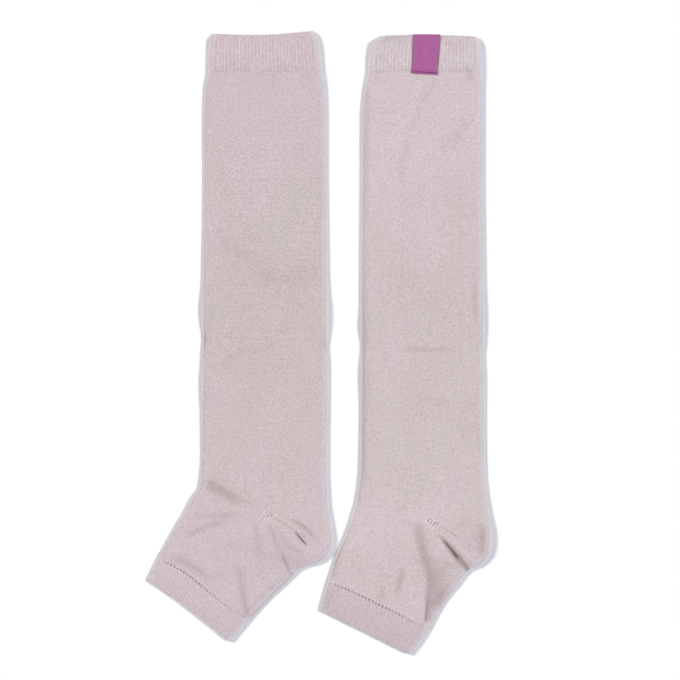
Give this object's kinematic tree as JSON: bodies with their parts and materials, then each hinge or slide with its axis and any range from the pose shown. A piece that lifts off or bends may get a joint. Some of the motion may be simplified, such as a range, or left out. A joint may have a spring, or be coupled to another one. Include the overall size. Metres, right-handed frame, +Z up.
{
  "type": "pair of open-toe socks",
  "caption": "Pair of knee-length open-toe knit socks laid flat side by side, with rib cuffs, turned heels, picot-edged toe bands and a bare woven label.",
  "frame": {"origin": "bottom centre of the pair's bounding box, on the surface that the socks lie on", "axes": "+Y runs up the legs towards the cuffs, +Z is up from the surface, and +X is to the right as seen from above with the cuffs away from the viewer"},
  "size_m": [0.2583, 0.467, 0.0066],
  "materials": {
    "rib_knit": "fine ribbed cotton knit, rose grey",
    "plain_knit": "fine plain cotton knit with a light fleck, rose grey",
    "toe_knit": "fine doubled cotton knit, rose grey",
    "ribbon": "woven ribbon, purple"
  },
  "bodies": {
    "root": {"left_cuff": "rib_knit", "left_leg": "plain_knit", "left_toe_band": "toe_knit", "right_cuff": "rib_knit", "right_leg": "plain_knit", "right_toe_band": "toe_knit", "label": "ribbon"}
  },
  "joints": []
}
